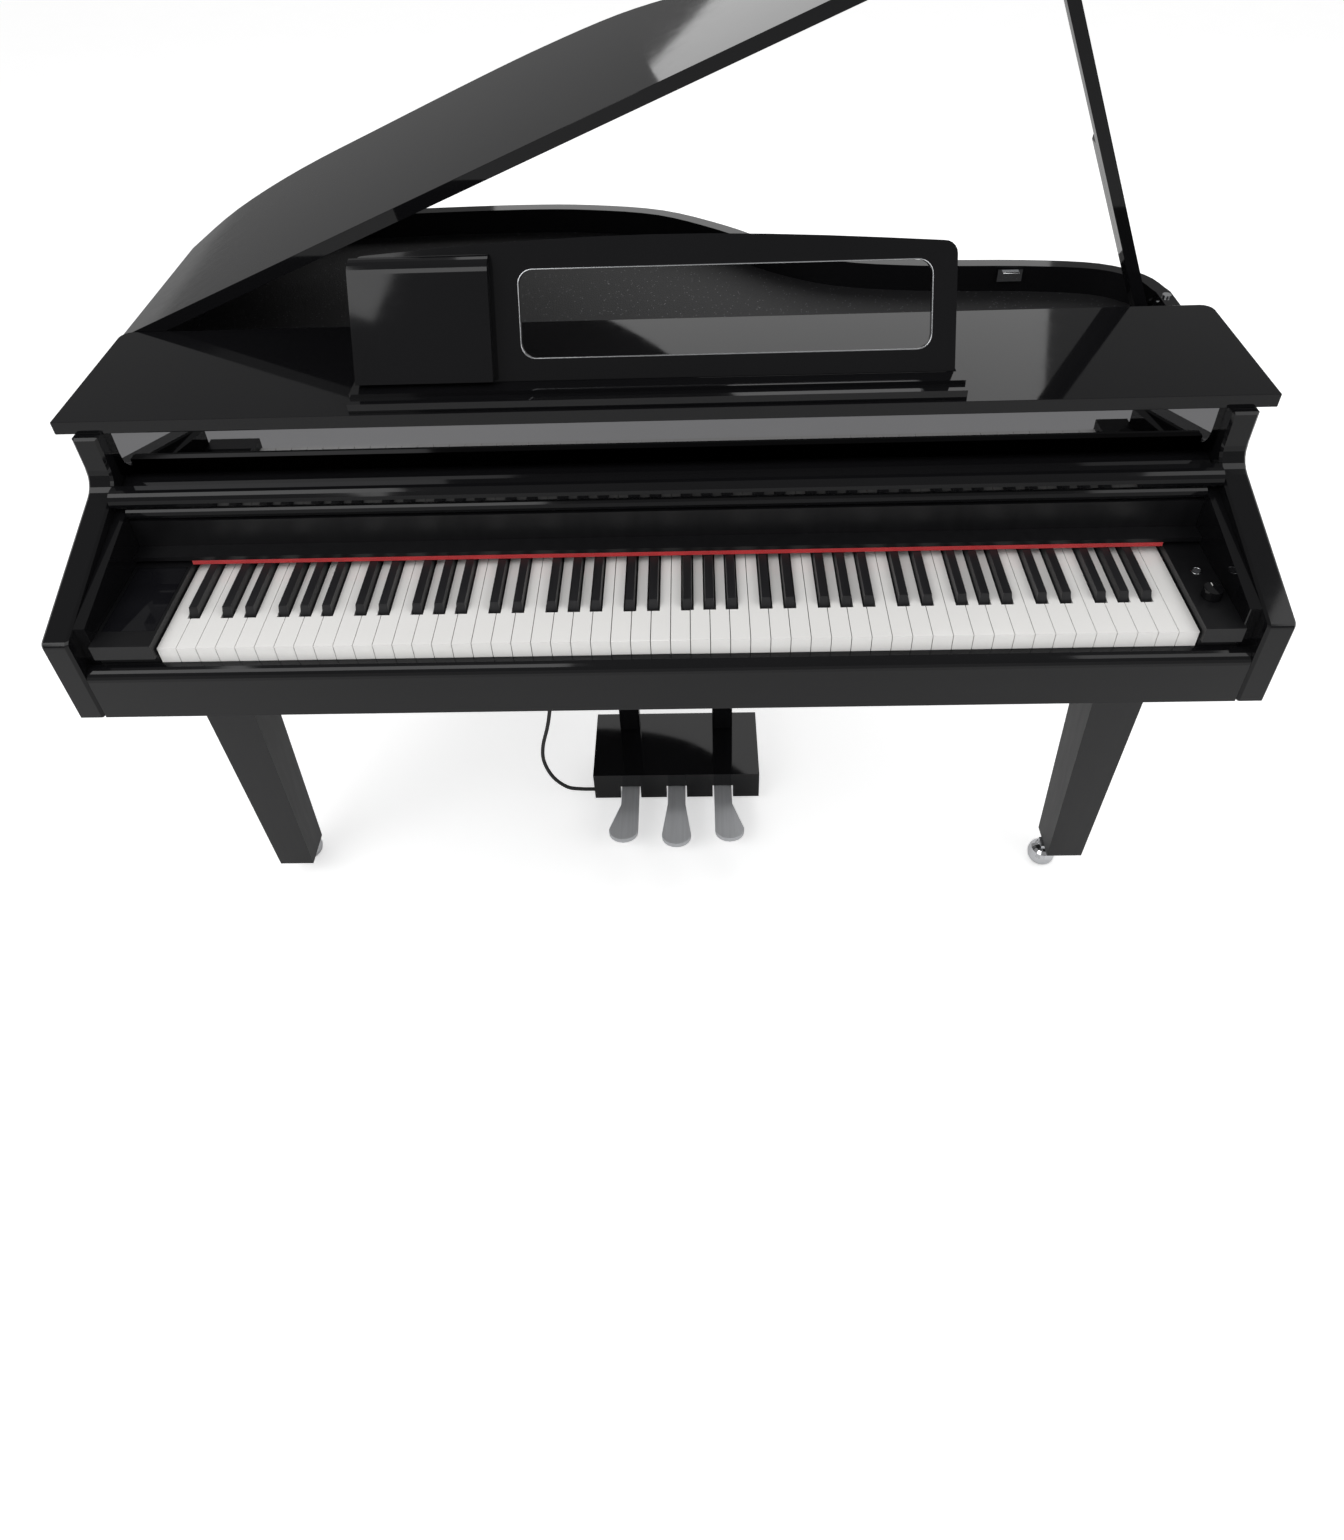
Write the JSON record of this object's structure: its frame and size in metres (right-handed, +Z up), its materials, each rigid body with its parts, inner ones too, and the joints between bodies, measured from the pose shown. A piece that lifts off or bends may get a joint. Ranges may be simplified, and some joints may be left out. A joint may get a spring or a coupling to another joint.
{
  "type": "digital baby grand piano",
  "caption": "Digital baby grand piano: curved black case on tapered caster legs, hinged lid on a prop, sliding key cover, music desk, keyboard and pedal lyre.",
  "frame": {"origin": "floor level under the middle of the bounding box with the lid up", "axes": "+X to the player's right, +Y from the keys to the tail, +Z up"},
  "size_m": [1.4905, 0.9052, 1.4983],
  "materials": {
    "gloss_lacquer": "gloss",
    "satin_lacquer": "satin",
    "textured_board": "textured",
    "white_key": "gloss",
    "black_key": "satin",
    "red_felt": "matt",
    "chrome": "polished",
    "pedal_metal": "satin",
    "rubber": "matt",
    "dark_glass": "gloss",
    "grey_plastic": "satin",
    "circuit": "satin"
  },
  "bodies": {
    "case": {"bent_rim": "gloss_lacquer", "left_side_panel": "gloss_lacquer", "right_side_panel": "gloss_lacquer", "front_board": "gloss_lacquer", "nameboard": "gloss_lacquer", "keyslip": "gloss_lacquer", "left_cover_track": "gloss_lacquer", "right_cover_track": "gloss_lacquer", "music_ledge": "gloss_lacquer", "pedal_box": "gloss_lacquer", "left_lyre_post": "gloss_lacquer", "right_lyre_post": "gloss_lacquer", "bottom_board": "satin_lacquer", "left_key_block": "satin_lacquer", "right_key_block": "satin_lacquer", "fall_rail": "satin_lacquer", "left_leg": "satin_lacquer", "right_leg": "satin_lacquer", "rear_leg": "satin_lacquer", "soundboard_cover": "textured_board", "key_felt": "red_felt", "lid_hinge": "chrome", "prop_bracket": "chrome", "rim_catch": "chrome", "rim_bumper": "chrome", "pedal_axle": "chrome", "pedal_cable": "rubber", "touch_panel": "dark_glass", "key_chassis": "grey_plastic", "left_speaker": "grey_plastic", "right_speaker": "grey_plastic", "main_board": "circuit"},
    "lid": {"main_lid": "gloss_lacquer", "prop_pad": "rubber"},
    "long_prop": {"long_prop_stick": "gloss_lacquer"},
    "short_prop": {"short_prop_stick": "gloss_lacquer"},
    "desk": {"music_desk": "gloss_lacquer", "desk_pod": "satin_lacquer"},
    "stay": {"desk_stay": "chrome"},
    "cover": {"key_cover": "gloss_lacquer"},
    "button": {"power_button": "grey_plastic"},
    "knob": {"volume_knob": "gloss_lacquer"},
    "white_key_c4": {"white_key_c4": "white_key"},
    "white_key_d4": {"white_key_d4": "white_key"},
    "white_key_e4": {"white_key_e4": "white_key"},
    "white_key_f4": {"white_key_f4": "white_key"},
    "black_key_c_sharp_4": {"black_key_c_sharp_4": "black_key"},
    "black_key_d_sharp_4": {"black_key_d_sharp_4": "black_key"},
    "black_key_f_sharp_4": {"black_key_f_sharp_4": "black_key"},
    "white_bank": {"white_key_bank": "white_key"},
    "black_bank": {"black_key_bank": "black_key"},
    "left_pedal_lever": {"left_pedal": "pedal_metal"},
    "middle_pedal_lever": {"middle_pedal": "pedal_metal"},
    "right_pedal_lever": {"right_pedal": "pedal_metal"},
    "left_caster": {"left_caster_hood": "chrome"},
    "left_wheel": {"left_caster_wheel": "rubber"},
    "right_caster": {"right_caster_hood": "chrome"},
    "right_wheel": {"right_caster_wheel": "rubber"},
    "rear_caster": {"rear_caster_hood": "chrome"},
    "rear_wheel": {"rear_caster_wheel": "rubber"}
  },
  "joints": [
    {"name": "lid_hinge_joint", "type": "hinge", "parent": "case", "child": "lid", "pos_m": [-0.71817, 0.0685, 0.9071], "axis": [0, -1, 0], "range_deg": [0, 12]},
    {"name": "long_prop_joint", "type": "hinge", "parent": "case", "child": "long_prop", "pos_m": [0.68333, 0.0465, 0.882], "axis": [0, -1, 0], "range_deg": [0, 66]},
    {"name": "short_prop_joint", "type": "hinge", "parent": "case", "child": "short_prop", "pos_m": [0.68333, 0.0465, 0.882], "axis": [0, -1, 0], "range_deg": [0, 66]},
    {"name": "desk_fold_joint", "type": "hinge", "parent": "case", "child": "desk", "pos_m": [0.00333, -0.1855, 0.9388], "axis": [1, 0, 0], "range_deg": [-58, 0]},
    {"name": "desk_stay_joint", "type": "hinge", "parent": "desk", "child": "stay", "pos_m": [-0.25867, -0.14165, 1.00063], "axis": [1, 0, 0], "range_deg": [0, 114.5]},
    {"name": "key_cover_slide", "type": "slide", "parent": "case", "child": "cover", "axis": [0, -0.9636, -0.2672], "range_m": [0, 0.175]},
    {"name": "power_button_press", "type": "slide", "parent": "case", "child": "button", "axis": [0, 0, -1], "range_m": [0, 0.0015], "stiffness_N_per_m": 300, "springref_m": -0.001},
    {"name": "volume_knob_turn", "type": "hinge", "parent": "case", "child": "knob", "pos_m": [0.65433, -0.3855, 0.747], "axis": [0, 0, -1], "range_deg": [-150, 150]},
    {"name": "white_key_c4_press", "type": "hinge", "parent": "case", "child": "white_key_c4", "pos_m": [0.00333, -0.2075, 0.7235], "axis": [1, 0, 0], "range_deg": [0, 2.55], "stiffness_Nm_per_rad": 2, "springref_deg": -8.59},
    {"name": "white_key_d4_press", "type": "hinge", "parent": "case", "child": "white_key_d4", "pos_m": [0.00333, -0.2075, 0.7235], "axis": [1, 0, 0], "range_deg": [0, 2.55], "stiffness_Nm_per_rad": 2, "springref_deg": -8.59},
    {"name": "white_key_e4_press", "type": "hinge", "parent": "case", "child": "white_key_e4", "pos_m": [0.00333, -0.2075, 0.7235], "axis": [1, 0, 0], "range_deg": [0, 2.55], "stiffness_Nm_per_rad": 2, "springref_deg": -8.59},
    {"name": "white_key_f4_press", "type": "hinge", "parent": "case", "child": "white_key_f4", "pos_m": [0.00333, -0.2075, 0.7235], "axis": [1, 0, 0], "range_deg": [0, 2.55], "stiffness_Nm_per_rad": 2, "springref_deg": -8.59},
    {"name": "black_key_c_sharp_4_press", "type": "hinge", "parent": "case", "child": "black_key_c_sharp_4", "pos_m": [0.00333, -0.2075, 0.7235], "axis": [1, 0, 0], "range_deg": [0, 2.55], "stiffness_Nm_per_rad": 0.8, "springref_deg": -8.59},
    {"name": "black_key_d_sharp_4_press", "type": "hinge", "parent": "case", "child": "black_key_d_sharp_4", "pos_m": [0.00333, -0.2075, 0.7235], "axis": [1, 0, 0], "range_deg": [0, 2.55], "stiffness_Nm_per_rad": 0.8, "springref_deg": -8.59},
    {"name": "black_key_f_sharp_4_press", "type": "hinge", "parent": "case", "child": "black_key_f_sharp_4", "pos_m": [0.00333, -0.2075, 0.7235], "axis": [1, 0, 0], "range_deg": [0, 2.55], "stiffness_Nm_per_rad": 0.8, "springref_deg": -8.59},
    {"name": "white_bank_press", "type": "hinge", "parent": "case", "child": "white_bank", "pos_m": [0.00333, -0.2075, 0.7235], "axis": [1, 0, 0], "range_deg": [0, 2.55], "stiffness_Nm_per_rad": 95, "springref_deg": -8.88},
    {"name": "black_bank_press", "type": "hinge", "parent": "case", "child": "black_bank", "pos_m": [0.00333, -0.2075, 0.7235], "axis": [1, 0, 0], "range_deg": [0, 2.55], "stiffness_Nm_per_rad": 26, "springref_deg": -8.02},
    {"name": "left_pedal_press", "type": "hinge", "parent": "case", "child": "left_pedal_lever", "pos_m": [-0.07867, -0.0315, 0.046], "axis": [1, 0, 0], "range_deg": [0, 3.4], "stiffness_Nm_per_rad": 20, "springref_deg": -4.3},
    {"name": "middle_pedal_press", "type": "hinge", "parent": "case", "child": "middle_pedal_lever", "pos_m": [0.00333, -0.0315, 0.046], "axis": [1, 0, 0], "range_deg": [0, 3.4], "stiffness_Nm_per_rad": 20, "springref_deg": -4.3},
    {"name": "right_pedal_press", "type": "hinge", "parent": "case", "child": "right_pedal_lever", "pos_m": [0.08533, -0.0315, 0.046], "axis": [1, 0, 0], "range_deg": [0, 3.4], "stiffness_Nm_per_rad": 20, "springref_deg": -4.3},
    {"name": "left_caster_swivel", "type": "hinge", "parent": "case", "child": "left_caster", "pos_m": [-0.64167, -0.2415, 0.046], "axis": [0, 0, 1], "continuous": true},
    {"name": "left_wheel_roll", "type": "hinge", "parent": "left_caster", "child": "left_wheel", "pos_m": [-0.64167, -0.2155, 0.017], "axis": [-1, 0, 0], "continuous": true},
    {"name": "right_caster_swivel", "type": "hinge", "parent": "case", "child": "right_caster", "pos_m": [0.64833, -0.2415, 0.046], "axis": [0, 0, 1], "continuous": true},
    {"name": "right_wheel_roll", "type": "hinge", "parent": "right_caster", "child": "right_wheel", "pos_m": [0.62233, -0.2415, 0.017], "axis": [0, -1, 0], "continuous": true},
    {"name": "rear_caster_swivel", "type": "hinge", "parent": "case", "child": "rear_caster", "pos_m": [-0.27667, 0.3085, 0.046], "axis": [0, 0, 1], "continuous": true},
    {"name": "rear_wheel_roll", "type": "hinge", "parent": "rear_caster", "child": "rear_wheel", "pos_m": [-0.26367, 0.33102, 0.017], "axis": [-0.866, 0.5, 0], "continuous": true}
  ],
  "couplings": [
    {"joint": "desk_stay_joint", "follows": "desk_fold_joint", "ratio": -1.97}
  ]
}
